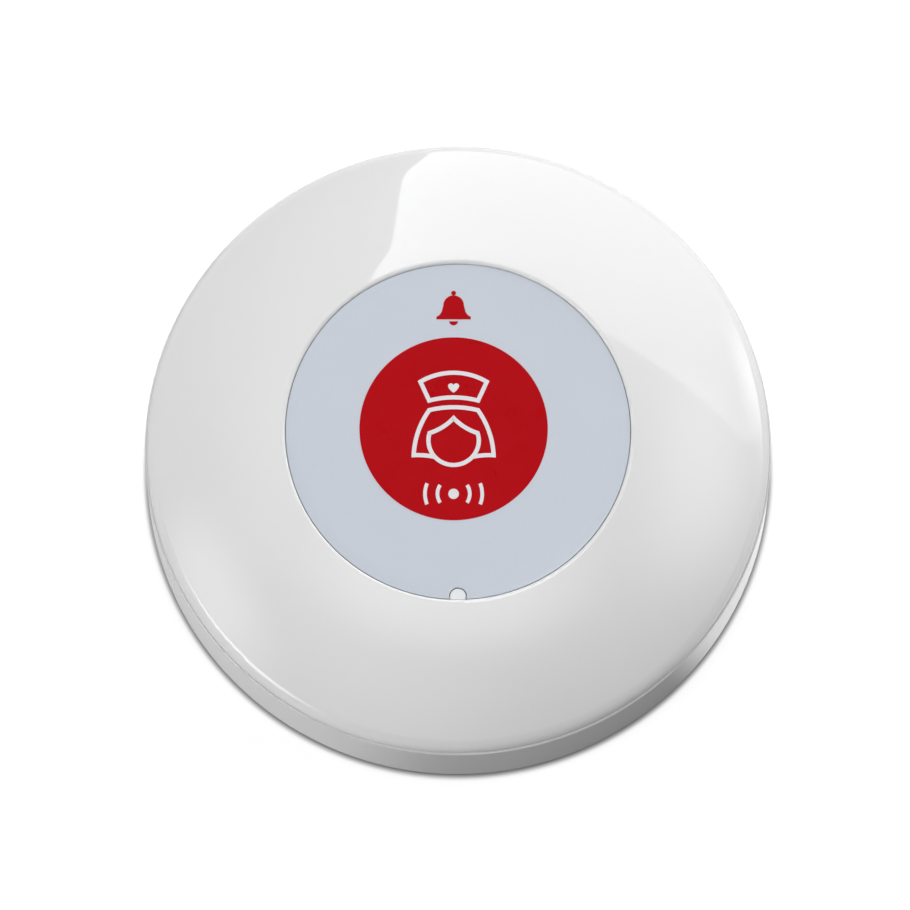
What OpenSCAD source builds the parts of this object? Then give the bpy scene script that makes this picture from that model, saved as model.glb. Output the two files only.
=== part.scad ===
// Round wall call button with a wide press face, in millimetres.
// +Z points away from the wall, +Y is up on the wall, and the wall face is z = 0.

/* [Casing] */
// Outer diameter of the casing at its widest
body_d = 86; // [84:0.5:96]
// Wall thickness of both shells
wall = 2; // [1.7:0.1:2.2]
// Radius of the dome in section
crown_r = 46.8; // [45:0.1:52]
// Slope of the dome beside the lip, in degrees
crown_slope = 12.2; // [11:0.1:13]
// Radius of the shoulder between the dome and the side
shoulder_r = 2.8; // [2.5:0.1:3.4]
// Height of the seam between base and cover
seam_z = 13.5; // [12.6:0.1:13.7]
// Open seam between base and cover
seam_gap = 0.12; // [0.05:0.01:0.2]
// Width of the base's ledge that shows below the cover's edge
ledge_w = 0.25; // [0.1:0.05:0.3]
// Rounding of the base's lower outer edge
foot_round = 0.8; // [0.4:0.1:1.4]
// Rounding of both outer edges at the seam
seam_round = 0.2; // [0.1:0.05:0.3]
// Rounding of the lip, from the bore to the dome
lip_round = 0.5; // [0.4:0.05:0.7]
// Thickness of the base's floor
floor_t = 2; // [1.9:0.1:2.4]

/* [Button] */
// Diameter of the press face
button_d = 47; // [44:0.5:50]
// Open ring between press face and cover
button_gap = 0.08; // [0.06:0.02:0.3]
// Room between the switch's stem and the button's disc, which sets the casing's height
cap_room = 5.2; // [4.6:0.1:7]
// How deep the face lies below the lip
face_drop = 0.35; // [0.2:0.05:0.6]
// Thickness of the printed face label
label_t = 0.25; // [0.15:0.05:0.4]
// Thickness of the button's disc
cap_t = 1.2; // [1:0.1:1.5]
// Height of the rim under the button's disc
cap_rim_h = 0.7; // [0.5:0.1:1]
// Width of the rim under the button's disc
cap_rim_w = 1.2; // [1:0.1:2]
// Free travel of the button before it meets the switch
free_travel = 0.4; // [0.2:0.05:0.5]
// Travel of the switch's stem
switch_travel = 0.3; // [0.2:0.05:0.35]
// Room left under the rim of the pressed button
press_gap = 0.2; // [0.1:0.05:0.4]
// Width of a snap leg
leg_w = 5; // [4:0.5:6]
// Thickness of a snap leg
leg_t = 1.2; // [1:0.1:1.4]
// Reach of a snap leg's hook
hook_reach = 1.2; // [1:0.1:1.5]
// Height of a snap leg's hook
hook_h = 1.3; // [1:0.1:1.5]
// Distance of the snap legs' outer faces from the button's edge
leg_inset = 3.9; // [3.2:0.1:6]

/* [Deck] */
// Thickness of the deck under the button
deck_t = 1.2; // [1:0.1:1.4]
// Wall thickness of the collar round the button
collar_t = 1.6; // [1.2:0.1:2]
// Wall thickness of the spring well
well_wall = 1.2; // [1:0.1:1.5]
// Floor thickness of the spring well
well_floor_t = 1; // [0.8:0.1:1.2]
// Thickness of the ribs in both shells
rib_t = 1.2; // [1:0.1:1.6]
// Height of the ribs in both shells
rib_h = 1; // [0.6:0.1:1.4]

/* [Wall plate] */
// Thickness of the wall plate
plate_t = 1.6; // [1.6:0.1:2]
// Distance of the two wall screws from the plate's edge
hole_inset = 8.5; // [7:0.5:14]
// Diameter of the wall screw holes
hole_d = 4.5; // [3.5:0.5:5]
// Diameter of the countersinks
sink_d = 7.4; // [6.5:0.1:9]
// Depth of the countersinks
sink_h = 0.8; // [0.5:0.1:1]
// Angle that each bayonet tab spans
tab_angle = 24; // [18:1:28]
// Thickness of the bayonet tabs
tab_t = 0.6; // [0.5:0.05:0.7]

/* [Battery] */
// Diameter of the coin cell
cell_d = 24.5; // [20:0.1:25]
// Thickness of the coin cell
cell_t = 5; // [3.2:0.1:5.2]
// Width of the door's coin slot
coin_slot_w = 1.8; // [1.5:0.1:2.4]
// Length of the door's coin slot
coin_slot_l = 18; // [12:0.5:20]
// Depth of the door's coin slot
coin_slot_h = 1.3; // [0.8:0.1:1.5]
// Angle that each door lug spans
lug_angle = 24; // [18:1:28]
// Thickness of the door lugs
lug_t = 0.95; // [0.8:0.05:1.1]
// Turn that unlocks the door
door_turn = 45; // [40:1:55]

/* [Electronics] */
// Gap between the main board and the screw bosses
board_gap = 0.68; // [0.4:0.02:3]
// Thickness of the main board
board_t = 1.2; // [1:0.1:1.3]
// Side of the switch
switch_w = 6; // [5:0.5:7]
// Height of the switch's plastic body
switch_h = 3.2; // [3:0.1:3.4]
// Diameter of the switch's stem
stem_d = 3.5; // [3:0.1:3.8]
// How far the stem stands out of the switch
stem_out = 1.5; // [1.4:0.1:1.6]
// Diameter of the light pipe
pipe_d = 2.3; // [1.8:0.1:2.6]
// Mean radius of the return spring
spring_r = 4.9; // [4.6:0.1:5.4]
// Wire diameter of the return spring
spring_wire = 0.5; // [0.3:0.05:0.6]
// Turns of the return spring
spring_turns = 4.5; // [3:0.5:5]
// Mean radius of the antenna coil
antenna_r = 1.6; // [1.2:0.1:1.6]
// Wire diameter of the antenna coil
antenna_wire = 0.6; // [0.4:0.1:0.7]
// Whole turns of the antenna coil
antenna_turns = 7; // [4:1:8]
// Pitch of the antenna coil
antenna_pitch = 1.7; // [1.5:0.1:2.2]

/* [Hidden] */
$fn = 96;

// Clearances
overrun = 1;          // how far a cut runs past the face it opens
rim_gap = 0.3;        // base rim above the wall
plate_gap = 0.4;      // wall plate to base floor
slide_gap = 0.1;      // faces that slide on each other
touch_gap = 0.05;     // faces that are pressed together
side_gap = 0.3;       // loose fit at the side
screw_fit = 0.05;     // screw in its pilot hole
seat_gap = 0.3;       // cell above the door
contact_room = 0.5;   // contact springs between cell and board

// Heights, from the wall up
floor_z = plate_t + plate_gap;
floor_top = floor_z + floor_t;
hub_top = floor_top + touch_gap + lug_t;
cell_z = hub_top + seat_gap;
cell_top = cell_z + cell_t;
board_z = cell_top + contact_room;
board_top = board_z + board_t;
frame_t = 0.3;
switch_top = board_top + switch_h + frame_t;
stem_top = switch_top + stem_out;
well_z = switch_top + side_gap;
well_floor_top = well_z + well_floor_t;

// Heights, from the button's disc up to the lip and down to the deck
body_h = stem_top + cap_room + cap_t + label_t + face_drop;
face_z = body_h - face_drop;
cap_top = face_z - label_t;
cap_under = cap_top - cap_t;
cap_rim_z = cap_under - cap_rim_h;
press_travel = free_travel + switch_travel;
deck_top = cap_rim_z - press_travel - press_gap;
deck_under = deck_top - deck_t;

// Dome and shoulder in section
body_r = body_d / 2;
cover_r = body_r - ledge_w;
inner_r = body_r - wall;
button_r = button_d / 2;
bore_r = button_r + button_gap;
collar_r = bore_r + collar_t;
lip_w = lip_round * (1 + sin(crown_slope));
crown_x = bore_r + lip_round - (crown_r - lip_round) * sin(crown_slope);
crown_z = body_h - lip_round - (crown_r - lip_round) * cos(crown_slope);
shoulder_x = cover_r - shoulder_r;
blend_r = crown_r - shoulder_r;
shoulder_z = crown_z + sqrt(pow(blend_r, 2) - pow(shoulder_x - crown_x, 2));
blend_share = (shoulder_x - crown_x) / blend_r;
blend_x = crown_x + crown_r * blend_share;

// Seam
tongue_t = 0.6;
tongue_h = 0.9;
seal_h = 0.5;
tongue_r = inner_r + tongue_t;
tongue_top = seam_z + tongue_h;
seal_top = tongue_top + seal_h;

// Thirds of the circle that the fasteners, legs and lugs stand on
thirds = [90, 210, 330];
sixths = [for (i = [0:5]) 60 * i];

// Casing screws
screw_d = 2.6;
screw_l = 8;
screw_head_d = 4.6;
screw_head_h = 1.6;
screw_web = 1.4;
screw_ring_r = inner_r - 1.35 * screw_d;
screw_seat_z = floor_top + 0.23 * screw_d;
base_boss_r = inner_r - screw_ring_r + tongue_t / 2;
cover_boss_r = inner_r - screw_ring_r - side_gap - tongue_t / 3;
boss_split_z = screw_seat_z + screw_web + floor_t;
screw_angles = thirds;

// Board screws and their standoffs
board_screw_d = 2.2;
board_screw_l = 5;
board_head_d = 4;
board_head_h = 1.4;
standoff_r = 2.6;
board_ring_share = 0.82;
board_r = screw_ring_r - base_boss_r - board_gap;
board_ring_r = board_r * board_ring_share;
board_screw_angles = [45, 165, 285];

// Wall plate and bayonet
plate_inset = 2.5;
plate_r = inner_r - plate_inset;
hole_pitch = 2 * (plate_r - hole_inset);
base_tab_r = plate_r + side_gap;
plate_tab_r = inner_r - side_gap - tongue_t;
plate_tab_z = rim_gap + tab_t + slide_gap;
stop_angle = 3;
stop_gap_angle = 0.5;

// Snap legs, in their windows in the deck
leg_angles = thirds;
leg_r = button_r - leg_inset;
window_gap = 0.4;
leg_foot_z = deck_under - slide_gap - hook_h;
hook_lead = 0.5;

// Spring well and plunger
spring_gap = 0.6;
well_r = spring_r + spring_wire / 2 + spring_gap;
guide_r = spring_r - spring_wire / 2 - spring_gap;
guide_h = 1.4;
plunger_r = 2;
pad_r = 1.5;
pad_grip = 0.8;
pad_out = 0.4;
pad_z = stem_top + free_travel;
plunger_z = pad_z + pad_out;
stem_hole_r = 2.6;

// Light pipe in the button's edge, flat where it meets the bore
pipe_inset = 0.5;
pipe_y = -(bore_r - pipe_inset);
pipe_fit = 0.08;
pipe_notch_gap = 0.07;
pipe_drop = 0.1;
pipe_edge = 0.3;
pipe_flange_r = 1.8;
pipe_flange_h = 0.9;
led_h = 0.6;
led_lens_h = 0.5;
led_lens_r = 0.7;
led_size = [2.4, 1.6];
led_top = board_top + led_h + led_lens_h;

// Battery chamber and door
cell_r = cell_d / 2;
hub_gap = 0.6;
hub_r = cell_r + hub_gap;
hub_bore_r = hub_r + slide_gap * 2;
lug_reach = 1.3;
lug_r = hub_r + lug_reach;
lug_gap_r = lug_r + slide_gap;
flange_t = 1.15;
flange_pit = flange_t + touch_gap;
seal_wire = 0.65;
flange_lip = 0.5;
seal_ring_r = lug_gap_r + side_gap + seal_wire / 2;
flange_r = seal_ring_r + seal_wire / 2 + flange_lip;
pit_r = flange_r + slide_gap * 2;
chamber_r = lug_r + window_gap;
chamber_wall = 1.2;
chamber_top = board_z - seat_gap;
holder_gap = 0.3;
holder_r = cell_r + holder_gap;
holder_wall = 1.1;
holder_slot_w = 6;
leaf_t = 0.25;
leaf_w = 4;
leaf_share = 0.6;
clip_w = 5;
clip_foot = 1.6;

// Places on the board, as shares of its radius
controller_share = [-0.50, 0.16];
radio_share = [-0.02, 0.47];
crystal_share = [0.26, 0.40];
antenna_share = 0.84;
antenna_lift = 0.4;
capacitor_shares = [
    [-0.30, 0.40], [-0.24, 0.52], [0.16, 0.58], [0.50, 0.18],
    [0.58, 0.02], [-0.68, -0.06], [-0.40, -0.14]
];
resistor_shares = [[0.42, 0.30], [0.36, -0.10], [-0.14, -0.62], [0.14, -0.50], [-0.26, -0.44]];
controller_size = [7, 7, 1];
radio_size = [5, 5, 0.9];
crystal_size = [5, 3.2, 1.3];
capacitor_size = [2, 1.25, 1.1];
resistor_size = [2, 1.25, 0.55];
capacitor_end = 0.4;
chip_dot_r = 0.4;
chip_dot_h = 0.1;
chip_edge = 0.4;

// Colours
shell_white = [0.93, 0.94, 0.95];
steel = [0.70, 0.71, 0.73];
nickel = [0.80, 0.79, 0.75];
board_green = [0.08, 0.36, 0.20];
chip_black = [0.10, 0.10, 0.11];
rubber_grey = [0.45, 0.46, 0.48];
face_grey = [0.79, 0.82, 0.86];

// A sector of a ring: inner and outer radius, lower face, height, middle angle and span
module ring_part(r1, r2, z, h, mid, span)
    rotate(mid - span / 2)
        rotate_extrude(angle = span)
            translate([r1, z]) square([r2 - r1, h]);

// A closed ring of rectangular section
module ring(r1, r2, z, h)
    rotate_extrude() translate([r1, z]) square([r2 - r1, h]);

// The outside of the casing in half section, moved in by a given depth
module casing_section(inset) {
    intersection() {
        translate([crown_x, crown_z]) circle(r = crown_r - inset);
        square([blend_x - inset * blend_share, body_h]);
    }
    translate([shoulder_x, shoulder_z]) circle(r = shoulder_r - inset);
    square([cover_r - inset, shoulder_z]);
}

// What rounds an outer corner of a half section away
module corner_cut(x, z, r, side, up)
    difference() {
        translate([x - (side > 0 ? r : 0), z - (up > 0 ? r : 0)]) square(r);
        translate([x - side * r, z - up * r]) circle(r = r);
    }

// Copies of the children at the given angles and distance from the middle
module around(angles, r = 0)
    for (a = angles) rotate(a) translate([r, 0]) children();

// A coil about Z as one unbroken tube; straight ends of a given length may leave it along +X
function coil_ring(p, n, b, wire, sides) =
    [for (j = [0:sides - 1]) p + wire / 2 * (cos(360 * j / sides) * n + sin(360 * j / sides) * b)];

module coil(r, wire, length, turns, start, steps, sides, tail) {
    rise = atan(length / (2 * PI * r * turns));
    count = floor(turns * steps);
    body = [for (i = [0:count])
        let (a = start + 360 * turns * i / count, n = [cos(a), sin(a), 0])
            coil_ring(r * n + [0, 0, length * i / count], n,
                      [sin(rise) * sin(a), -sin(rise) * cos(a), cos(rise)], wire, sides)];
    n0 = [cos(start), sin(start), 0];
    n1 = [cos(start + 360 * turns), sin(start + 360 * turns), 0];
    first = [coil_ring(r * n0 + [tail, 0, 0], n0, [0, 0, 1], wire, sides)];
    last = [coil_ring(r * n1 + [tail, 0, length], n1, [0, 0, 1], wire, sides)];
    rings = tail > 0 ? concat(first, body, last) : body;
    m = len(rings);
    polyhedron(
        points = [for (ring = rings) each ring],
        faces = concat(
            [[for (j = [sides - 1:-1:0]) j]],
            [[for (j = [0:sides - 1]) (m - 1) * sides + j]],
            [for (i = [0:m - 2], j = [0:sides - 1])
                let (k = (j + 1) % sides) [i * sides + j, i * sides + k, (i + 1) * sides + k]],
            [for (i = [0:m - 2], j = [0:sides - 1])
                let (k = (j + 1) % sides) [i * sides + j, (i + 1) * sides + k, (i + 1) * sides + j]]
        ),
        convexity = 10
    );
}

// A flat-headed screw that points down from z = 0 (the seat of its head), with a cross recess
module pan_screw(d, l, head_d, head_h) {
    recess_w = head_d / 6;
    difference() {
        union() {
            translate([0, 0, -l]) cylinder(d = d, h = l);
            cylinder(d1 = head_d, d2 = head_d * 0.8, h = head_h);
        }
        for (a = [0, 90])
            rotate(a) translate([-head_d * 0.3, -recess_w / 2, head_h * 0.45])
                cube([head_d * 0.6, recess_w, head_h]);
    }
}

// A small two-ended chip part standing on z = 0
module end_chip(size, end) {
    translate([-size.x / 2 + end, -size.y / 2 + end / 8, 0])
        cube([size.x - 2 * end, size.y - end / 4, size.z - end / 8]);
    for (s = [-1, 1])
        translate([s * (size.x - end) / 2 - end / 2, -size.y / 2, 0]) cube([end, size.y, size.z]);
}

// A square chip with a marked corner, standing on z = 0
module dotted_chip(size)
    difference() {
        translate([-size.x / 2, -size.y / 2, 0]) cube(size);
        translate([chip_edge + chip_dot_r - size.x / 2, size.y / 2 - chip_edge - chip_dot_r,
                   size.z - chip_dot_h])
            cylinder(r = chip_dot_r, h = chip_dot_h + overrun);
    }

// A place on the board given as shares of its radius
module on_board(share)
    translate([share.x * board_r, share.y * board_r, board_top]) children();

// Plate that is screwed to the wall; the base turns onto its three tabs
module wall_plate() color(shell_white) difference() {
    union() {
        cylinder(r = plate_r, h = plate_t);
        for (a = thirds) {
            ring_part(plate_r - tab_t, plate_tab_r, plate_tab_z, plate_t - plate_tab_z,
                      a - stop_angle / 2, tab_angle + stop_angle);
            ring_part(plate_r - tab_t, plate_tab_r, rim_gap, plate_t - rim_gap,
                      a - (tab_angle + stop_angle + stop_gap_angle) / 2, stop_angle - stop_gap_angle);
        }
    }
    for (s = [-1, 1]) translate([s * hole_pitch / 2, 0, 0]) {
        translate([0, 0, -overrun]) cylinder(d = hole_d, h = plate_t + 2 * overrun);
        translate([0, 0, plate_t - sink_h]) cylinder(d1 = hole_d, d2 = sink_d, h = sink_h);
        translate([0, 0, plate_t]) cylinder(d = sink_d, h = overrun);
    }
}

// Half section of the base: skirt, floor, side wall and the tongue of the seam
module base_section() {
    difference() {
        translate([0, rim_gap]) square([body_r, seam_z - rim_gap]);
        translate([0, floor_top]) square([inner_r, seam_z]);
        square([inner_r, floor_z]);
        corner_cut(body_r, rim_gap, foot_round, 1, -1);
        corner_cut(body_r, seam_z, seam_round, 1, 1);
        square([pit_r, floor_z + flange_pit]);
        square([hub_bore_r, floor_top + overrun]);
    }
    translate([inner_r, seam_z - tongue_h]) square([tongue_t, 2 * tongue_h]);
    translate([chamber_r, floor_z + flange_pit]) square([chamber_wall, chamber_top - floor_z - flange_pit]);
}

module base_shell() color(shell_white) difference() {
    union() {
        rotate_extrude() base_section();
        for (a = thirds)
            ring_part(base_tab_r, inner_r + tongue_t, rim_gap, tab_t, a, tab_angle);
        around(screw_angles, screw_ring_r)
            translate([0, 0, floor_z]) cylinder(r = base_boss_r, h = boss_split_z - floor_z);
        around(board_screw_angles, board_ring_r)
            translate([0, 0, floor_z]) cylinder(r = standoff_r, h = board_z - floor_z);
        around(sixths)
            translate([chamber_r + chamber_wall / 2, -rib_t / 2, floor_top - touch_gap])
                cube([inner_r - chamber_r, rib_t, rib_h + touch_gap]);
    }
    for (a = thirds)
        ring_part(hub_r, lug_gap_r, floor_z, floor_t + overrun, a - door_turn, lug_angle + stop_angle);
    around(screw_angles, screw_ring_r) {
        cylinder(d = screw_d + 2 * slide_gap, h = boss_split_z + overrun);
        cylinder(d = screw_head_d + 2 * side_gap, h = screw_seat_z);
    }
    around(board_screw_angles, board_ring_r)
        translate([0, 0, board_z - board_screw_l])
            cylinder(d = board_screw_d + 2 * screw_fit, h = board_screw_l + overrun);
}

// Half section of the cover: dome, lip, collar, deck and spring well
module cover_section() {
    difference() {
        casing_section(0);
        square([body_d, seam_z + seam_gap]);
        intersection() {
            casing_section(wall);
            translate([collar_r, 0]) square([body_r, body_h]);
        }
        square([collar_r + wall, deck_under]);
        translate([0, deck_top]) square([bore_r, body_h]);
        translate([shoulder_x, 0])
            square([tongue_r + slide_gap - shoulder_x, seal_top + touch_gap]);
        corner_cut(cover_r, seam_z + seam_gap, seam_round, 1, -1);
        difference() {
            translate([bore_r, body_h - lip_round]) square([lip_w, body_h]);
            translate([bore_r + lip_round, body_h - lip_round]) circle(r = lip_round);
        }
        square([well_r, body_h]);
    }
    difference() {
        translate([0, well_z]) square([well_r + well_wall, deck_top - well_z]);
        translate([0, well_floor_top]) square([well_r, body_h]);
        square([stem_hole_r, body_h]);
    }
}

module top_cover() color(shell_white) difference() {
    union() {
        rotate_extrude() cover_section();
        intersection() {
            rotate_extrude() casing_section(wall / 2);
            around(screw_angles, screw_ring_r)
                translate([0, 0, boss_split_z + slide_gap]) cylinder(r = cover_boss_r, h = body_h);
        }
        around(sixths)
            translate([well_r + well_wall / 2, -rib_t / 2, deck_under - rib_h])
                cube([collar_r - well_r - well_wall, rib_t, rib_h + touch_gap]);
    }
    around(screw_angles, screw_ring_r)
        cylinder(d = screw_d + 2 * screw_fit, h = screw_seat_z + screw_l + overrun);
    around(leg_angles, leg_r - leg_t - window_gap)
        translate([0, -leg_w / 2 - window_gap, deck_under - overrun])
            cube([leg_t + 2 * window_gap, leg_w + 2 * window_gap, deck_t + 2 * overrun]);
    translate([0, pipe_y, 0]) cylinder(r = pipe_d / 2 + pipe_fit, h = deck_top + touch_gap);
}

module casing_seal() color(rubber_grey)
    ring(inner_r, tongue_r, tongue_top, seal_h);

module casing_screws() color(steel)
    around(screw_angles, screw_ring_r)
        translate([0, 0, screw_seat_z]) mirror([0, 0, 1])
            pan_screw(screw_d, screw_l, screw_head_d, screw_head_h);

module main_board() color(board_green) difference() {
    translate([0, 0, board_z]) cylinder(r = board_r, h = board_t);
    around(board_screw_angles, board_ring_r)
        translate([0, 0, board_z - overrun])
            cylinder(d = board_screw_d + 2 * slide_gap, h = board_t + 2 * overrun);
}

module board_screws() color(steel)
    around(board_screw_angles, board_ring_r)
        translate([0, 0, board_top])
            pan_screw(board_screw_d, board_screw_l, board_head_d, board_head_h);

// Coin cell: the wide can, and the smaller lid with its insulating groove on the door's side
module battery_cell() color(nickel) {
    lid_h = cell_t / 8;
    lid_r = cell_r * 0.88;
    translate([0, 0, cell_z + lid_h]) cylinder(r = cell_r, h = cell_t - lid_h);
    translate([0, 0, cell_z]) cylinder(r = lid_r, h = cell_t / 2);
}

module battery_holder() color(chip_black) difference() {
    ring(holder_r, holder_r + holder_wall, cell_z, board_z - cell_z - touch_gap);
    translate([-holder_r - holder_wall - overrun, -holder_slot_w / 2, cell_z - overrun])
        cube([holder_wall * 2 + overrun, holder_slot_w, board_z - cell_z + overrun]);
}

// Leaf under the board, bowed down onto the cell
module contact_negative() color(nickel) {
    leaf_l = cell_r * leaf_share;
    bow_z = cell_top + touch_gap;
    flat_z = board_z - touch_gap;
    translate([0, leaf_w / 2, 0]) rotate([90, 0, 0]) linear_extrude(leaf_w)
        polygon([
            [-leaf_l, flat_z], [-leaf_l / 3, flat_z], [leaf_l / 2, bow_z + leaf_t],
            [leaf_l, flat_z - leaf_t / 2], [leaf_l, flat_z - leaf_t * 3 / 2], [leaf_l / 2, bow_z],
            [-leaf_l / 3, flat_z - leaf_t], [-leaf_l, flat_z - leaf_t]
        ]);
}

// Clip that stands beside the cell in the holder's gap, with its foot on the board
module contact_positive() color(nickel) {
    clip_x = cell_r + touch_gap;
    foot_top = board_z - touch_gap;
    rotate(180) translate([0, clip_w / 2, 0]) rotate([90, 0, 0]) linear_extrude(clip_w)
        polygon([
            [clip_x, cell_z + leaf_t], [clip_x + leaf_t, cell_z + leaf_t],
            [clip_x + leaf_t, foot_top - leaf_t], [clip_x + clip_foot, foot_top - leaf_t],
            [clip_x + clip_foot, foot_top], [clip_x, foot_top]
        ]);
}

module switch_body() color(chip_black) {
    skirt = switch_h / 16;
    difference() {
        translate([-switch_w / 2, -switch_w / 2, board_top]) cube([switch_w, switch_w, switch_h]);
        translate([0, 0, board_top + switch_h / 2 - switch_travel - skirt])
            cylinder(d = stem_d + 2 * slide_gap, h = switch_h);
    }
}

// Metal frame over the switch, with its four rivets
module switch_frame() color(steel) {
    rivet_r = switch_w / 14;
    difference() {
        translate([-switch_w / 2, -switch_w / 2, board_top + switch_h]) cube([switch_w, switch_w, frame_t]);
        translate([0, 0, board_top]) cylinder(d = stem_d + 2 * slide_gap, h = switch_h + frame_t + overrun);
    }
    around([45, 135, 225, 315], switch_w * 0.56)
        translate([0, 0, board_top + switch_h]) cylinder(r = rivet_r, h = frame_t + slide_gap);
}

module switch_stem() color(chip_black)
    translate([0, 0, board_top + switch_h / 2])
        cylinder(d = stem_d, h = stem_top - board_top - switch_h / 2);

module status_led() color([0.96, 0.95, 0.85]) translate([0, pipe_y, board_top]) {
    translate([-led_size.x / 2, -led_size.y / 2, 0]) cube([led_size.x, led_size.y, led_h]);
    translate([0, 0, led_h]) cylinder(r = led_lens_r, h = led_lens_h);
}

// Light pipe from the lamp up through the deck, with a flange under the deck and a flat that
// lets it stand in the bore
module light_pipe() color([0.96, 0.97, 0.98]) {
    pipe_top = face_z - pipe_drop;
    translate([0, pipe_y, 0]) {
        translate([0, 0, led_top + seat_gap])
            cylinder(r = pipe_d / 2, h = deck_top - led_top - seat_gap);
        translate([0, 0, deck_under - touch_gap - pipe_flange_h])
            cylinder(r = pipe_flange_r, h = pipe_flange_h);
    }
    intersection() {
        translate([0, pipe_y, 0]) rotate_extrude() difference() {
            translate([0, deck_under]) square([pipe_d / 2, pipe_top - deck_under]);
            corner_cut(pipe_d / 2, pipe_top, pipe_edge, 1, 1);
        }
        cylinder(r = bore_r - touch_gap, h = body_h);
    }
}

module antenna_coil() color([0.80, 0.48, 0.28]) {
    coil_h = antenna_r + antenna_lift;
    coil_l = (antenna_turns + 0.5) * antenna_pitch;
    translate([-coil_l / 2, antenna_share * board_r, board_top + coil_h])
        rotate([0, 90, 0])
            coil(antenna_r, antenna_wire, coil_l, antenna_turns + 0.5, 90, 12, 6, coil_h);
}

module controller_chip() color(chip_black) on_board(controller_share) dotted_chip(controller_size);

module radio_chip() color(chip_black) on_board(radio_share) dotted_chip(radio_size);

module crystal_can() color(nickel) on_board(crystal_share) {
    lip = chip_edge;
    translate([-crystal_size.x / 2, -crystal_size.y / 2, 0])
        cube([crystal_size.x, crystal_size.y, lip]);
    translate([lip / 2 - crystal_size.x / 2, lip / 2 - crystal_size.y / 2, 0])
        cube([crystal_size.x - lip, crystal_size.y - lip, crystal_size.z]);
}

module chip_capacitors() color([0.66, 0.52, 0.38])
    for (share = capacitor_shares) on_board(share) end_chip(capacitor_size, capacitor_end);

module chip_resistors() color([0.18, 0.18, 0.20])
    for (share = resistor_shares) on_board(share) rotate(90) end_chip(resistor_size, capacitor_end);

module return_spring() color(steel)
    translate([0, 0, well_floor_top + spring_wire / 2 + touch_gap])
        coil(spring_r, spring_wire, cap_under - well_floor_top - spring_wire - 2 * touch_gap,
             spring_turns, 0, 16, 8, 0);

// Half section of the button: disc, rim, spring guide and plunger
module cap_section() {
    translate([0, cap_under]) square([button_r, cap_t]);
    translate([button_r - cap_rim_w, cap_rim_z]) square([cap_rim_w, cap_rim_h + cap_t]);
    translate([0, cap_under - guide_h]) square([guide_r, guide_h + cap_t]);
    translate([0, plunger_z]) square([plunger_r, cap_under - plunger_z]);
}

module button_cap() color(shell_white) difference() {
    union() {
        rotate_extrude() cap_section();
        around(leg_angles, leg_r - leg_t)
            translate([0, -leg_w / 2, leg_foot_z]) cube([leg_t, leg_w, cap_under + cap_t / 2 - leg_foot_z]);
        around(leg_angles, leg_r)
            translate([0, leg_w / 2, leg_foot_z]) rotate([90, 0, 0]) linear_extrude(leg_w)
                polygon([
                    [-leg_t / 2, 0], [hook_lead - hook_reach / 2, 0], [hook_reach, hook_h - hook_lead],
                    [hook_reach, hook_h], [-leg_t / 2, hook_h]
                ]);
        around(sixths)
            translate([well_r + spring_gap, -rib_t / 2, cap_rim_z])
                cube([button_r - well_r - spring_gap - cap_rim_w / 2, rib_t, cap_rim_h + cap_t / 2]);
    }
    translate([0, 0, plunger_z - overrun]) cylinder(r = pad_r, h = pad_grip + overrun);
    translate([0, pipe_y, cap_rim_z - overrun])
        cylinder(r = pipe_d / 2 + pipe_notch_gap, h = cap_top - cap_rim_z + 2 * overrun);
}

// Printed label that covers the whole button, cut out round the light pipe
module face_label() color(face_grey) difference() {
    translate([0, 0, cap_top]) cylinder(r = button_r, h = label_t);
    translate([0, pipe_y, cap_top - overrun])
        cylinder(r = pipe_d / 2 + pipe_notch_gap, h = label_t + 2 * overrun);
}

// Soft tip that meets the stem, with its tail in the plunger
module plunger_pad() color(rubber_grey) {
    translate([0, 0, pad_z]) cylinder(r = pad_r, h = pad_out);
    translate([0, 0, plunger_z - touch_gap])
        cylinder(r = pad_r - touch_gap, h = pad_grip);
}

// Coin-slot door: flange with a seal groove, hub and three lugs that pass the notches
module battery_door() color(shell_white) difference() {
    union() {
        rotate_extrude() difference() {
            union() {
                translate([0, floor_z]) square([flange_r, flange_t]);
                translate([0, floor_z]) square([hub_r, hub_top - floor_z]);
            }
            translate([seal_ring_r - seal_wire / 2 - touch_gap,
                       floor_z + flange_pit - seal_wire - touch_gap])
                square([seal_wire + 2 * touch_gap, seal_wire + overrun]);
        }
        for (a = thirds)
            ring_part(hub_r - lug_t, lug_r, floor_top + touch_gap, lug_t, a, lug_angle);
    }
    translate([-coin_slot_l / 2, -coin_slot_w / 2, floor_z - overrun])
        cube([coin_slot_l, coin_slot_w, coin_slot_h + overrun]);
}

module door_seal() color(rubber_grey)
    rotate_extrude()
        translate([seal_ring_r, floor_z + flange_pit - seal_wire / 2]) circle(d = seal_wire);

wall_plate();
base_shell();
top_cover();
casing_seal();
casing_screws();
main_board();
board_screws();
battery_cell();
battery_holder();
contact_negative();
contact_positive();
switch_body();
switch_frame();
switch_stem();
status_led();
light_pipe();
antenna_coil();
controller_chip();
radio_chip();
crystal_can();
chip_capacitors();
chip_resistors();
return_spring();
button_cap();
face_label();
plunger_pad();
battery_door();
door_seal();
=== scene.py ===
"""Round wall call button: finishes, prints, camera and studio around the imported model."""

import math

import bmesh
import bpy
from bpy.props import FloatProperty, FloatVectorProperty, PointerProperty
from mathutils import Matrix, Vector


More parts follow.
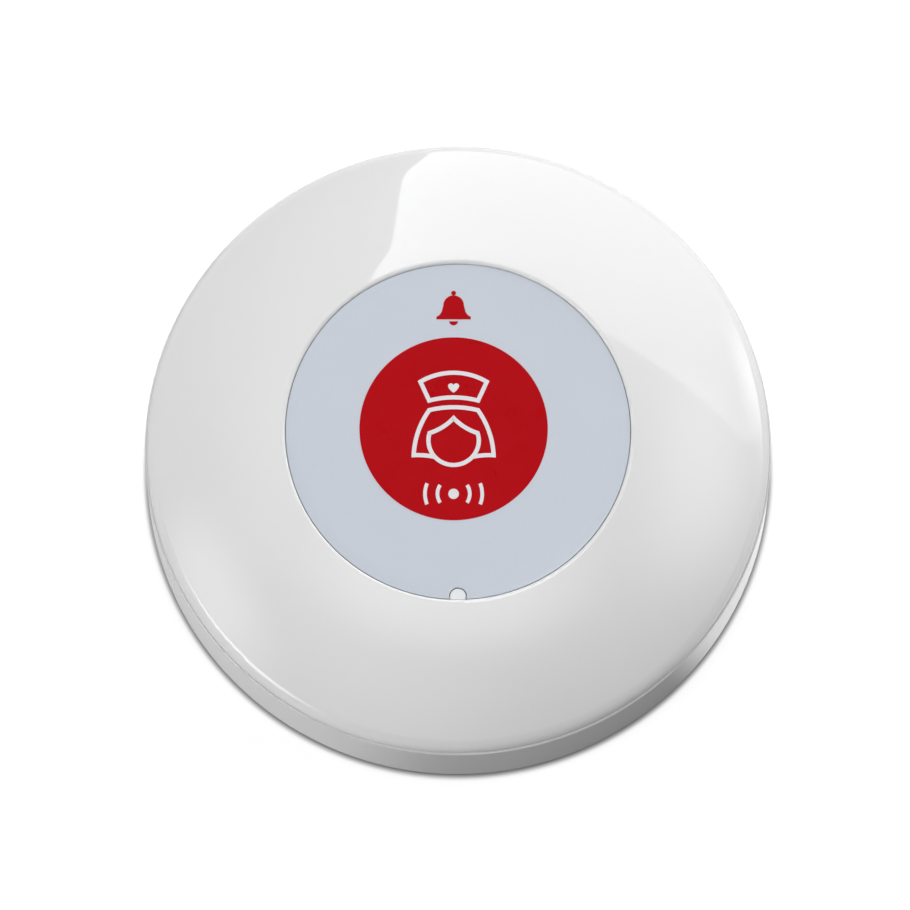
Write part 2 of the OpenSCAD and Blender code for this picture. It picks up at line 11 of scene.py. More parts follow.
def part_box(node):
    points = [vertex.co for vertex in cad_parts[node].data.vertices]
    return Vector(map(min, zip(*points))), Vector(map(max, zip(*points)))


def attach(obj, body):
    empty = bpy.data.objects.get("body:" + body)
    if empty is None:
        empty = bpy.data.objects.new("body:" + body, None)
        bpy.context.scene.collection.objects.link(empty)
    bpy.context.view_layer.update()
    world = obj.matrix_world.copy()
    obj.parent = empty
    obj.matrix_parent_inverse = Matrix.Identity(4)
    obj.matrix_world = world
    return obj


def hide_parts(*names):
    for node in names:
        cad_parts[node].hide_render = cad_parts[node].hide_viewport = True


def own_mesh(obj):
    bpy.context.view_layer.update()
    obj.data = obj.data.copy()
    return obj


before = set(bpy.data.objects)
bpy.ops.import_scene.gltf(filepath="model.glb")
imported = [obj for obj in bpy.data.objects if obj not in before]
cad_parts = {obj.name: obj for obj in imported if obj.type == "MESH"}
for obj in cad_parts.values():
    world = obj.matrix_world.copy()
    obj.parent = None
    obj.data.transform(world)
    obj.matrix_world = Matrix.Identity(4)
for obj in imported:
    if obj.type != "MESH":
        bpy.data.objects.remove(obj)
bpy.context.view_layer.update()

bl_info = {
    "name": "Round call button",
    "version": (1, 0, 0),
    "blender": (4, 5, 0),
    "location": "View3D > Sidebar > Call button",
    "description": "Finishes, prints, camera and studio for a round wall call button",
    "category": "Object",
}

LABEL_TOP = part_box("face_label")[1].z
BODY_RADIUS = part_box("base_shell")[1].x

MM = 0.001
# Angle of one facet of an arc in the prints
ARC_STEP = math.radians(4)
# How far a closed outline may end from its start, in the outline's own unit
CLOSE_ENOUGH = 0.01
# Corners closer than this are one
MERGE_DISTANCE = 0.0005 * MM
# Noise stays between these values almost everywhere
NOISE_LOW, NOISE_HIGH = 0.3, 0.7
# Distance of the fading panels from the object's middle
PANEL_DISTANCE = 1.3


def colour_property(name, description, default):
    """A colour without alpha"""
    return FloatVectorProperty(
        name=name, description=description, default=default, subtype="COLOR", size=3, min=0, max=1
    )


def length_property(name, description, default):
    """A length in metres"""
    return FloatProperty(
        name=name, description=description, default=default, min=0, unit="LENGTH", precision=5
    )


def place_property(name, description, default):
    """A point or a shift in metres"""
    return FloatVectorProperty(
        name=name, description=description, default=default, subtype="TRANSLATION", size=3,
        unit="LENGTH",
    )


def share_property(name, description, default):
    """A plain number from 0 to 1"""
    return FloatProperty(name=name, description=description, default=default, min=0, max=1)


def level_property(name, description, default):
    """A strength with no upper limit"""
    return FloatProperty(name=name, description=description, default=default, min=0)


class CasingSettings(bpy.types.PropertyGroup):
    """Colours and gloss of the moulded shells"""

    white: colour_property("White", "Colour of the white mouldings", (0.79, 0.79, 0.79))
    # Painted shade: the base is a darker copy of the cover's white, which darkens its side wall as
    # shade does
    base_shade_share: share_property(
        "Base share", "How light the base is, as a share of the cover's white", 0.88
    )
    milk: colour_property("Milk", "Colour of the milky light pipe", (0.86, 0.87, 0.89))
    gloss: share_property("Gloss roughness", "Roughness of the polished shells", 0.04)
    satin: share_property(
        "Satin roughness", "Roughness of the wall plate and the battery door", 0.38
    )


class FaceSettings(bpy.types.PropertyGroup):
    """The printed film on the press face"""

    silver: colour_property("Silver", "Colour of the film", (0.590, 0.635, 0.705))
    red: colour_property("Red", "Colour of the red ink", (0.455, 0.003, 0.007))
    white: colour_property("White", "Colour of the white ink", (0.76, 0.76, 0.79))
    disc_radius: length_property("Disc radius", "Radius of the red disc", 12.85 * MM)
    line_width: length_property("Line width", "Width of the white lines", 0.58 * MM)
    ink: length_property("Ink", "Thickness of one layer of ink", 0.03 * MM)
    bell_height: length_property("Bell", "Height of the red bell", 4.7 * MM)
    bell_place: length_property(
        "Bell place", "Distance of the bell's middle from the disc's middle", 16.8 * MM
    )
    shift: place_property(
        "Shift", "How far the print sits off the middle of the film", (-0.6 * MM, 0.35 * MM, 0)
    )


class StageSettings(bpy.types.PropertyGroup):
    """Camera and studio"""

    tilt: FloatProperty(
        name="Tilt", description="Angle between the view and the press axis",
        default=math.radians(13.67), subtype="ANGLE",
    )
    aim: place_property("Aim", "Point at the middle of the picture", (-0.41 * MM, 0, 9.9 * MM))
    distance: length_property("Distance", "Distance from the camera to the aim", 1.5)
    view_width: length_property(
        "View width", "Width that the picture shows at the aim", 125.24 * MM
    )
    key_edge: level_property("Key edge", "Radiance of the large panel at its left edge", 4.12)
    key_base: level_property("Key base", "Radiance of the large panel at its right end", 1.32)
    fill: level_property("Fill", "Share of the listed radiance that the other panels give", 1.0)
    surround: level_property("Surround", "Strength of the light from all round", 0.062)
    floor: colour_property("Floor", "Colour of the floor", (0.35, 0.35, 0.35))
    floor_glow: share_property(
        "Floor glow", "What lifts the floor to white where it is seen", 0.77
    )


def add_node(tree, kind, inputs=None, **settings):
    """A shader node with its settings, and each input set or linked"""
    node = tree.nodes.new(kind)
    for name, value in settings.items():
        setattr(node, name, value)
    for name, value in (inputs or {}).items():
        if isinstance(value, bpy.types.NodeSocket):
            tree.links.new(value, node.inputs[name])
        else:
            node.inputs[name].default_value = value
    return node


def compute(tree, operation, *values):
    """The output of a Math node; its inputs are numbers or sockets"""
    return add_node(
        tree, "ShaderNodeMath", dict(enumerate(values)), operation=operation
    ).outputs[0]


def smooth_rise(tree, value, low, high, level=1.0):
    """Goes from 0 to level, with soft ends, as a value goes from low to high"""
    return add_node(
        tree, "ShaderNodeMapRange",
        {"Value": value, "From Min": low, "From Max": high, "To Min": 0.0, "To Max": level},
        interpolation_type="SMOOTHSTEP",
    ).outputs["Result"]


def new_group(name, inputs, output, kind):
    """A node group with the named inputs and one output; returns it with its two ends"""
    group = bpy.data.node_groups.new(name, "ShaderNodeTree")
    for label, socket_type, default in inputs:
        socket = group.interface.new_socket(label, in_out="INPUT", socket_type=socket_type)
        if default is not None:
            socket.default_value = default
    group.interface.new_socket(output, in_out="OUTPUT", socket_type=kind)
    start = group.nodes.new("NodeGroupInput")
    end = group.nodes.new("NodeGroupOutput")
    return group, start.outputs, end.inputs[output]


def noise_of(group, vector, size, ratio=1, detail=2):
    """Noise whose features are about size / ratio across"""
    scale = compute(group, "DIVIDE", ratio, size)
    return add_node(
        group, "ShaderNodeTexNoise", {"Vector": vector, "Scale": scale, "Detail": detail}
    ).outputs["Fac"]


def grain_group(name):
    """Height of a moulded or cast skin: a soft swell with a finer grain on it"""
    group, start, end = new_group(
        name,
        (("Vector", "NodeSocketVector", None), ("Size", "NodeSocketFloat", MM),
         ("Fine share", "NodeSocketFloat", 0.3)),
        "Height", "NodeSocketFloat",
    )
    broad = noise_of(group, start["Vector"], start["Size"])
    fine = noise_of(group, start["Vector"], start["Size"], ratio=5)
    group.links.new(compute(group, "MULTIPLY_ADD", fine, start["Fine share"], broad), end)
    return group


def range_group(name):
    """A value that drifts slowly between two limits, for roughness"""
    group, start, end = new_group(
        name,
        (("Vector", "NodeSocketVector", None), ("Size", "NodeSocketFloat", 10 * MM),
         ("Low", "NodeSocketFloat", 0.1), ("High", "NodeSocketFloat", 0.2)),
        "Value", "NodeSocketFloat",
    )
    noise = noise_of(group, start["Vector"], start["Size"], detail=4)
    spread = add_node(
        group, "ShaderNodeMapRange",
        {"Value": noise, "From Min": NOISE_LOW, "From Max": NOISE_HIGH,
         "To Min": start["Low"], "To Max": start["High"]},
    )
    group.links.new(spread.outputs["Result"], end)
    return group


def tone_group(name):
    """A colour that drifts slowly towards a second one, and is speckled a little"""
    group, start, end = new_group(
        name,
        (("Vector", "NodeSocketVector", None), ("Size", "NodeSocketFloat", 20 * MM),
         ("Speck", "NodeSocketFloat", 0.3 * MM), ("Colour", "NodeSocketColor", (1, 1, 1, 1)),
         ("Drift", "NodeSocketColor", (1, 1, 1, 1)), ("Amount", "NodeSocketFloat", 0.02)),
        "Colour", "NodeSocketColor",
    )
    slow = noise_of(group, start["Vector"], start["Size"])
    spread = add_node(
        group, "ShaderNodeMapRange", {"Value": slow, "From Min": NOISE_LOW, "From Max": NOISE_HIGH}
    )
    blend = add_node(group, "ShaderNodeMix", data_type="RGBA")
    colours = [socket for socket in blend.inputs if socket.type == "RGBA"]
    group.links.new(spread.outputs["Result"], blend.inputs[0])
    group.links.new(start["Colour"], colours[0])
    group.links.new(start["Drift"], colours[1])
    fine = noise_of(group, start["Vector"], start["Speck"], detail=1)
    swing = compute(group, "SUBTRACT", fine, 0.5)
    shade = compute(group, "MULTIPLY_ADD", swing, start["Amount"], 1.0)
    result = [socket for socket in blend.outputs if socket.type == "RGBA"][0]
    speckled = add_node(
        group, "ShaderNodeVectorMath", {0: result, "Scale": shade}, operation="SCALE"
    )
    group.links.new(speckled.outputs[0], end)
    return group


def place_group(tree, name, build, inputs):
    """The output of a shared node group, which is built the first time it is placed"""
    group = bpy.data.node_groups.get(name) or build(name)
    return add_node(tree, "ShaderNodeGroup", inputs, node_tree=group).outputs[0]


def new_material(
    name, colour, drift=None, drift_size=20 * MM, speck=0.3 * MM, speck_amount=0.02, rough=(0.2, 0.3),
    rough_size=8 * MM, grain=0.8 * MM, grain_depth=0.001 * MM, fine_share=0.3, metallic=0, ior=1.5,
):
    """A material whose colour, gloss and skin vary as the real finish does"""
    material = bpy.data.materials.new(name)
    material.use_nodes = True
    tree = material.node_tree
    shader = tree.nodes["Principled BSDF"]
    shader.inputs["Metallic"].default_value = metallic
    shader.inputs["IOR"].default_value = ior
    where = add_node(tree, "ShaderNodeTexCoord").outputs["Object"]
    tone = place_group(
        tree, "tone_drift", tone_group,
        {"Vector": where, "Size": drift_size, "Speck": speck, "Colour": (*colour, 1),
         "Drift": (*(drift or colour), 1), "Amount": speck_amount},
    )
    tree.links.new(tone, shader.inputs["Base Color"])
    gloss = place_group(
        tree, "slow_drift", range_group,
        {"Vector": where, "Size": rough_size, "Low": rough[0], "High": rough[1]},
    )
    tree.links.new(gloss, shader.inputs["Roughness"])
    height = place_group(
        tree, "skin_grain", grain_group,
        {"Vector": where, "Size": grain, "Fine share": fine_share},
    )
    bump = add_node(
        tree, "ShaderNodeBump", {"Height": height, "Strength": 1.0, "Distance": grain_depth}
    )
    tree.links.new(bump.outputs["Normal"], shader.inputs["Normal"])
    return material


def dress(material, *nodes):
    """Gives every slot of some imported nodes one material"""
    for node in nodes:
        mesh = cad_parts[node].data
        if not mesh.materials:
            mesh.materials.append(material)
        for index in range(len(mesh.materials)):
            mesh.materials[index] = material


class BUTTON_OT_casing(bpy.types.Operator):
    """Give the shells, the wall plate, the battery door and the light pipe their white plastic"""

    bl_idname = "button.casing"
    bl_label = "Casing"

    def execute(self, context):
        settings = context.scene.casing
        white = Vector(settings.white)
        for name, share, nodes in (
            ("polished_white", 1, ("top_cover", "button_cap")),
            # The base's darker copy of the white is painted shade on its side wall
            ("base_white", settings.base_shade_share, ("base_shell",)),
        ):
            polished = new_material(
                name, white * share, drift=white * share * 0.99, drift_size=25 * MM,
                speck_amount=0.004, rough=(settings.gloss * 0.9, settings.gloss * 1.2),
                rough_size=6 * MM, grain=1.6 * MM, grain_depth=0.0012 * MM, fine_share=0.05,
            )
            dress(polished, *nodes)
        satin = new_material(
            "satin_white", white * 0.98, drift=white * 0.96, drift_size=18 * MM, speck_amount=0.015,
            rough=(settings.satin * 0.9, settings.satin * 1.15), rough_size=3 * MM,
            grain=0.35 * MM, grain_depth=0.006 * MM, fine_share=0.5,
        )
        dress(satin, "wall_plate", "battery_door")
        milk = Vector(settings.milk)
        dress(
            new_material(
                "milky_pipe", milk, drift=milk * 0.98, drift_size=2 * MM, rough=(0.14, 0.2),
                rough_size=1 * MM, grain=0.5 * MM, grain_depth=0.002 * MM,
            ),
            "light_pipe",
        )
        return {"FINISHED"}


class BUTTON_OT_film(bpy.types.Operator):
    """Give the face its silver-grey film with a fine sparkle"""

    bl_idname = "button.film"
    bl_label = "Film"

    def execute(self, context):
        silver = Vector(context.scene.face.silver)
        film = new_material(
            "silver_film", silver, drift=silver * 0.985, drift_size=14 * MM, speck=0.18 * MM,
            speck_amount=0.05, rough=(0.3, 0.38), rough_size=5 * MM, grain=0.22 * MM,
            grain_depth=0.003 * MM, fine_share=0.4,
        )
        dress(film, "face_label")
        return {"FINISHED"}


class BUTTON_OT_works(bpy.types.Operator):
    """Give the parts inside the casing their plastics, metals and board"""

    bl_idname = "button.works"
    bl_label = "Works"

    FINISHES = (
        ("grey_rubber", (0.09, 0.09, 0.095),
         dict(rough=(0.6, 0.8), rough_size=2 * MM, grain=0.2 * MM, grain_depth=0.01 * MM),
         ("casing_seal", "door_seal", "plunger_pad")),
        ("zinc_steel", (0.56, 0.57, 0.58),
         dict(drift=(0.48, 0.49, 0.51), drift_size=1 * MM, rough=(0.2, 0.38), rough_size=0.5 * MM,
              grain=0.12 * MM, grain_depth=0.003 * MM, metallic=1),
         ("casing_screws", "board_screws")),
        ("green_mask", (0.012, 0.12, 0.045),
         dict(drift=(0.02, 0.17, 0.06), drift_size=1.2 * MM, speck=0.25 * MM, speck_amount=0.25,
              rough=(0.22, 0.34), rough_size=2 * MM, grain=0.3 * MM, grain_depth=0.006 * MM),
         ("main_board",)),
        ("bright_nickel", (0.66, 0.64, 0.60),
         dict(drift=(0.60, 0.58, 0.55), drift_size=4 * MM, rough=(0.16, 0.3), rough_size=1 * MM,
              grain=0.15 * MM, grain_depth=0.002 * MM, metallic=1),
         ("battery_cell", "contact_negative", "contact_positive", "crystal_can", "switch_frame")),
        ("spring_steel", (0.50, 0.50, 0.51),
         dict(rough=(0.22, 0.36), rough_size=0.6 * MM, grain=0.1 * MM, grain_depth=0.002 * MM,
              metallic=1),
         ("return_spring",)),
        ("bare_copper", (0.80, 0.39, 0.22),
         dict(drift=(0.66, 0.31, 0.18), drift_size=1 * MM, rough=(0.24, 0.4), rough_size=0.6 * MM,
              grain=0.1 * MM, grain_depth=0.002 * MM, metallic=1),
         ("antenna_coil",)),
        ("black_nylon", (0.018, 0.018, 0.02),
         dict(rough=(0.36, 0.5), rough_size=1.5 * MM, grain=0.25 * MM, grain_depth=0.008 * MM),
         ("battery_holder", "switch_body", "switch_stem")),
        ("black_epoxy", (0.014, 0.014, 0.015),
         dict(rough=(0.45, 0.6), rough_size=0.5 * MM, grain=0.08 * MM, grain_depth=0.006 * MM),
         ("controller_chip", "radio_chip", "chip_resistors")),
        ("tan_ceramic", (0.36, 0.22, 0.11),
         dict(drift=(0.42, 0.27, 0.14), drift_size=0.8 * MM, rough=(0.35, 0.5), rough_size=0.4 * MM,
              grain=0.08 * MM, grain_depth=0.004 * MM),
         ("chip_capacitors",)),
        ("cream_lamp", (0.80, 0.74, 0.50),
         dict(rough=(0.25, 0.35), rough_size=0.5 * MM, grain=0.1 * MM, grain_depth=0.003 * MM),
         ("status_led",)),
    )

    def execute(self, context):
        for name, colour, values, nodes in self.FINISHES:
            dress(new_material(name, colour, **values), *nodes)
        return {"FINISHED"}


def add_object(name, data):
    """A new object in the scene"""
    made = bpy.data.objects.new(name, data)
    bpy.context.scene.collection.objects.link(made)
    return made


def add_mesh(name, shape, material):
    """A new object made of a bmesh, in one material"""
    mesh = bpy.data.meshes.new(name)
    shape.to_mesh(mesh)
    shape.free()
    mesh.materials.append(material)
    return add_object(name, mesh)


def add_piece(name, shape, material, body):
    """Makes a bmesh a piece that rides on a body"""
    bmesh.ops.remove_doubles(shape, verts=shape.verts, dist=MERGE_DISTANCE)
    bmesh.ops.recalc_face_normals(shape, faces=shape.faces)
    piece = add_mesh(name, shape, material)
    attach(piece, body)
    return piece


class BUTTON_OT_spring(bpy.types.Operator):
    """Copy the return spring into a piece of its own that rides on the housing, in place of the
    imported one
    """

    bl_idname = "button.spring"
    bl_label = "Spring"

    def execute(self, context):
        wire = bmesh.new()
        wire.from_mesh(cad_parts["return_spring"].data)
        spring = add_piece(
            "spring_wire", wire, bpy.data.materials["spring_steel"], "housing"
        )
        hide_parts("return_spring")
        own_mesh(spring)
        return {"FINISHED"}


def lay_ink(name, shape, scale, place, thickness, ink):
    """Scales a flat drawing, raises it into a layer of ink and puts it in its place"""
    bmesh.ops.scale(shape, verts=shape.verts, vec=(scale, scale, 1))
    grown = bmesh.ops.extrude_face_region(shape, geom=shape.faces[:])["geom"]
    corners = [item for item in grown if isinstance(item, bmesh.types.BMVert)]
    bmesh.ops.translate(shape, verts=corners, vec=(0, 0, thickness))
    bmesh.ops.translate(shape, verts=shape.verts, vec=place)
    add_piece(name, shape, ink, "button")


def trace(shape, start, moves):
    """Draws a path from start; each move is the next corner and how far the way there bows out
    to its left"""
    first = here = shape.verts.new((*start, 0))
    for x, y, rise in moves:
        chord = Vector((x, y, 0)) - here.co
        half = chord.length / 2
        if rise:
            radius = (half**2 + rise**2) / (2 * abs(rise))
            left = Vector((-chord.y, chord.x, 0)).normalized() * math.copysign(1, rise)
            sweep = 4 * math.atan2(abs(rise), half)
            grown = bmesh.ops.spin(
                shape, geom=[here], cent=here.co + chord / 2 + left * (abs(rise) - radius),
                axis=(0, 0, 1), angle=-math.copysign(sweep, rise),
                steps=max(4, round(sweep / ARC_STEP)),
            )["geom_last"]
        else:
            grown = bmesh.ops.extrude_vert_indiv(shape, verts=[here])["verts"]
            bmesh.ops.translate(shape, verts=grown, vec=chord)
        here = [item for item in grown if isinstance(item, bmesh.types.BMVert)][0]
    if (first.co - here.co).length > CLOSE_ENOUGH:
        raise RuntimeError("a closed path doesn't meet its start")
    bmesh.ops.pointmerge(shape, verts=[first, here], merge_co=first.co)
    return first


def filled(shape, start, moves):
    """A flat face inside a closed path"""
    first = trace(shape, start, moves)
    found, rest = [], [first]
    while rest:
        corner = rest.pop()
        for edge in corner.link_edges:
            if edge not in found:
                found.append(edge)
                rest.append(edge.other_vert(corner))
    return bmesh.ops.contextual_create(shape, geom=found)["faces"]


def ring_of(shape, faces, width):
    """Turns a flat face into a line of even width along its border"""
    bmesh.ops.inset_region(
        shape, faces=faces, thickness=width, use_even_offset=True, use_boundary=True
    )
    inner = [face for face in faces if face.is_valid]
    bmesh.ops.delete(shape, geom=inner, context="FACES")


def arc_band(shape, centre, radius, width, start, sweep):
    """A flat band along an arc"""
    cx, cy = centre
    direction = Vector((math.cos(math.radians(start)), math.sin(math.radians(start)), 0))
    ends = [
        shape.verts.new(Vector((cx, cy, 0)) + direction * (radius + side * width / 2))
        for side in (-1, 1)
    ]
    edge = shape.edges.new(ends)
    angle = math.radians(sweep)
    bmesh.ops.spin(
        shape, geom=[*ends, edge], cent=(cx, cy, 0), axis=(0, 0, 1), angle=angle,
        steps=max(3, round(angle / ARC_STEP)), use_duplicate=False,
    )


class BUTTON_OT_prints(bpy.types.Operator):
    """Print the red disc, the red bell and the white signs on the film"""

    bl_idname = "button.prints"
    bl_label = "Prints"

    # An outline is its start, and moves with x, y and how far the way there bows out to its left.
    # The bell's are in shares of its height, the others in millimetres from the disc's middle
    BELL_BODY = (
        (-0.50, -0.30),
        ((-0.50, -0.22, 0), (-0.34, -0.04, -0.03), (-0.30, 0.12, 0), (0.30, 0.12, 0.30),
         (0.34, -0.04, 0), (0.50, -0.22, -0.03), (0.50, -0.30, 0), (-0.50, -0.30, 0)),
    )
    BELL_CLAPPER = ((-0.13, -0.36), ((0.13, -0.36, 0), (-0.13, -0.36, 0.12)))
    BELL_KNOB = ((-0.07, 0.49), ((0.07, 0.49, 0.07), (-0.07, 0.49, 0.07)))
    CAP = ((-3.5, 3.6), ((-4.9, 6.7, 0), (4.9, 6.7, 1.45), (3.5, 3.6, 0), (-3.5, 3.6, -0.5)))
    HEART = (
        (0, 5.05), ((-0.76, 5.92, 0.1), (0, 6.12, 0.34), (0.76, 5.92, 0.34), (0, 5.05, 0.1)),
    )
    BOB = (
        (-3.5, 2.85),
        ((3.5, 2.85, 0.45), (5.75, -4.05, 0.55), (2.7, -4.241, -0.12), (-2.7, -4.241, 1.159),
         (-5.75, -4.05, -0.12), (-3.5, 2.85, 0.55)),
    )
    FACE = ((-3.5, -0.4), ((0, 1.9, -0.3), (3.5, -0.4, -0.3), (-3.5, -0.4, 5.0)))
    SIGNAL_MIDDLE = (0, -9.15)
    SIGNAL_DOT = 0.72
    # Radius of each arc, and half its angle in degrees
    SIGNAL_ARCS = ((2.2, 34), (3.9, 22))
    SIGNAL_LINE_SHARE = 0.85

    def execute(self, context):
        face = context.scene.face
        finish = dict(
            rough=(0.26, 0.34), rough_size=4 * MM, grain=0.2 * MM, grain_depth=0.0006 * MM,
            speck=0.25 * MM, ior=1.2,
        )
        red = Vector(face.red)
        red_ink = new_material(
            "red_ink", red, drift=red * 0.96, drift_size=9 * MM, speck_amount=0.06, **finish
        )
        white = Vector(face.white)
        white_ink = new_material(
            "white_ink", white, drift=white * 0.985, speck_amount=0.03, **finish
        )
        middle_x, middle_y = face.shift[:2]

        disc = bmesh.new()
        bmesh.ops.create_circle(disc, cap_ends=True, segments=144, radius=face.disc_radius)
        lay_ink("red_disc", disc, 1, (middle_x, middle_y, LABEL_TOP), face.ink, red_ink)

        bell = bmesh.new()
        self.draw_bell(bell)
        bell_place = (middle_x, middle_y + face.bell_place, LABEL_TOP)
        lay_ink("red_bell", bell, face.bell_height, bell_place, face.ink, red_ink)

        on_disc = (middle_x, middle_y, LABEL_TOP + face.ink)
        for name, draw, layers in (
            ("white_nurse", self.draw_nurse_sign, 1), ("white_face_line", self.draw_face_line, 1.3),
            ("white_signal", self.draw_signal_sign, 1),
        ):
            sign = bmesh.new()
            draw(sign, face.line_width / MM)
            lay_ink(name, sign, MM, on_disc, face.ink * layers, white_ink)
        return {"FINISHED"}

    def draw_bell(self, shape):
        """A plain bell, about one unit high: body, clapper and knob"""
        for outline in (self.BELL_BODY, self.BELL_CLAPPER, self.BELL_KNOB):
            filled(shape, *outline)

    def draw_nurse_sign(self, shape, width):
        """A head with a centre-parted bob under a cap with a heart, in lines of one width"""
        ring_of(shape, filled(shape, *self.CAP), width)
        filled(shape, *self.HEART)
        ring_of(shape, filled(shape, *self.BOB), width)

    def draw_face_line(self, shape, width):
        """The outline of the face under the parting, on top of the bob's line at the chin"""
        ring_of(shape, filled(shape, *self.FACE), width)

    def draw_signal_sign(self, shape, width):
        """A dot between two pairs of arcs"""
        bmesh.ops.create_circle(
            shape, cap_ends=True, segments=32, radius=self.SIGNAL_DOT,
            matrix=Matrix.Translation((*self.SIGNAL_MIDDLE, 0)),
        )
        line = width * self.SIGNAL_LINE_SHARE
        for side in (0, 180):
            for radius, half in self.SIGNAL_ARCS:
                arc_band(shape, self.SIGNAL_MIDDLE, radius, line, side - half, 2 * half)


def glow_mask_with_painted_light(tree, painted_reflection, outside_painted_foot_shadow):
    """1 for camera rays outside the painted contact shadow at the foot, and for glossy and
    transmission rays where the painted reflection is bright"""
    path = add_node(tree, "ShaderNodeLightPath").outputs
    bent = compute(tree, "MAXIMUM", path["Is Glossy Ray"], path["Is Transmission Ray"])
    # Painted reflection: glossy rays see the floor's glow only where the painted mask is bright
    glossy_painted_reflection = compute(tree, "MULTIPLY", bent, painted_reflection)
    # Painted contact shadow: the camera sees the glow fade out at the wall's foot
    plain = compute(tree, "MULTIPLY", path["Is Camera Ray"], outside_painted_foot_shadow)
    return compute(tree, "MAXIMUM", glossy_painted_reflection, plain)


def painted_floor_masks(tree):
    """Two masks on the floor's glow: a painted reflection, which the gloss mirrors, and a painted
    contact shadow at the foot, which the camera sees. The painted reflection is bright far from the
    object, right beside it on the right, and half as bright on its left; between them it paints shade
    at the wall's foot"""
    reflection_fade_start, reflection_fade_end = BODY_RADIUS * 1.6, BODY_RADIUS * 4
    # Painted contact shadow: the glow that the camera sees fades in between these radii
    shadow_start, shadow_end = BODY_RADIUS - 0.2 * MM, BODY_RADIUS + 0.9 * MM
    where = add_node(tree, "ShaderNodeTexCoord").outputs["Object"]
    far = add_node(tree, "ShaderNodeVectorMath", {0: where}, operation="LENGTH").outputs["Value"]
    # Painted reflection and painted shade: the glow in the gloss is gone at the foot, and comes back
    # far from the object and on two sides
    painted_reflection = smooth_rise(tree, far, reflection_fade_start, reflection_fade_end)
    # Azimuth of each side's middle in degrees, where its painted light rises from and to, and its
    # level
    for azimuth, low, high, level in (
        (49, -5 * MM, 7 * MM, 1.0), (180, 0, BODY_RADIUS / 2, 0.55),
    ):
        turn = math.radians(azimuth)
        across = add_node(
            tree, "ShaderNodeVectorMath", {0: where, 1: (math.cos(turn), math.sin(turn), 0)},
            operation="DOT_PRODUCT",
        ).outputs["Value"]
        painted_reflection = compute(tree, "MAXIMUM", painted_reflection, smooth_rise(tree, across, low, high, level))
    return painted_reflection, smooth_rise(tree, far, shadow_start, shadow_end)


def add_floor(colour, glow):
    """A pale floor, lifted to white by a glow where it is seen, with a painted contact shadow at the
    foot and a painted reflection in what the gloss mirrors
    """
    half_width = 3
    material = bpy.data.materials.new("pale_floor")
    material.use_nodes = True
    tree = material.node_tree
    shader = tree.nodes["Principled BSDF"]
    shader.inputs["Base Color"].default_value = (*colour, 1)
    shader.inputs["Roughness"].default_value = 0.9
    shader.inputs["Specular IOR Level"].default_value = 0
    shader.inputs["Emission Color"].default_value = (1, 1, 1, 1)
    strength = compute(tree, "MULTIPLY", glow_mask_with_painted_light(tree, *painted_floor_masks(tree)), glow)
    tree.links.new(strength, shader.inputs["Emission Strength"])
    shape = bmesh.new()
    bmesh.ops.create_grid(shape, x_segments=1, y_segments=1, size=half_width)
    floor = add_mesh("floor", shape, material)


def add_surround(strength):
    """Weak cool light from all round"""
    world = bpy.data.worlds.new("studio")
    bpy.context.scene.world = world
    world.use_nodes = True
    background = world.node_tree.nodes["Background"]
    background.inputs["Color"].default_value = (0.92, 0.94, 0.97, 1)
    background.inputs["Strength"].default_value = strength


def stand_off(aim, direction, distance):
    """The place and turn of a lamp or camera that looks at aim from some distance"""
    turn = direction.to_track_quat("Z", "Y").to_matrix().to_4x4()
    return Matrix.Translation(aim + direction * distance) @ turn


def add_panel(name, matrix, width, height):
    """A soft box of radiance 1, unseen by the camera itself; returns its tree and strength"""
    lamp = bpy.data.lights.new(name, "AREA")
    lamp.shape = "RECTANGLE"
    lamp.size = width
    lamp.size_y = height
    lamp.energy = math.pi * width * height
    lamp.use_nodes = True
    panel = add_object(name, lamp)
    panel.visible_camera = False
    panel.matrix_world = matrix
    return lamp.node_tree, lamp.node_tree.nodes["Emission"].inputs["Strength"]


def add_key(edge, base):
    """The large panel that leans over the object from behind. It is brightest at its left edge,
    which bends to the right near the floor and to the left at the top, as a curtain hangs.
    Lengths are in metres; a bend is what the edge moves, per square of the way past its start"""
    reach, left, right, low, high = 1.06, -0.45, 2.25, -1.02, 0.28
    border, softness, fade = -0.184, 0.003, 0.44
    foot_start, foot_bend, top_start, top_bend = -0.55, 0.8, -0.05, 1.32
    across, up, back = Vector((1, 0, 0)), Vector((0, -1, 1)) / 2**0.5, Vector((0, 1, 1)) / 2**0.5
    middle = back * reach + across * (left + right) / 2 + up * (low + high) / 2
    width, height = right - left, high - low
    turn = Matrix((across, -up, back)).transposed().to_4x4()
    tree, strength = add_panel("key_panel", Matrix.Translation(middle) @ turn, width, height)
    place = add_node(tree, "ShaderNodeNewGeometry").outputs["Parametric"]
    parts = add_node(tree, "ShaderNodeSeparateXYZ", {"Vector": place}).outputs

    # How high a point of the panel is, and how far it is inside the lit edge
    rise = compute(tree, "MULTIPLY_ADD", parts["Y"], -height, high)
    inside = compute(tree, "MULTIPLY_ADD", parts["X"], width, left - border)
    for sign, start, amount in ((-1, foot_start, -foot_bend), (1, -top_start, top_bend)):
        past = compute(tree, "MAXIMUM", compute(tree, "MULTIPLY_ADD", rise, sign, start), 0.0)
        inside = compute(
            tree, "MULTIPLY_ADD", compute(tree, "POWER", past, 2.0), amount, inside
        )
    decay = compute(tree, "EXPONENT", compute(tree, "MULTIPLY", inside, -1 / fade))
    level = compute(tree, "MULTIPLY_ADD", decay, edge - base, base)
    tree.links.new(smooth_rise(tree, inside, -softness, softness, level), strength)


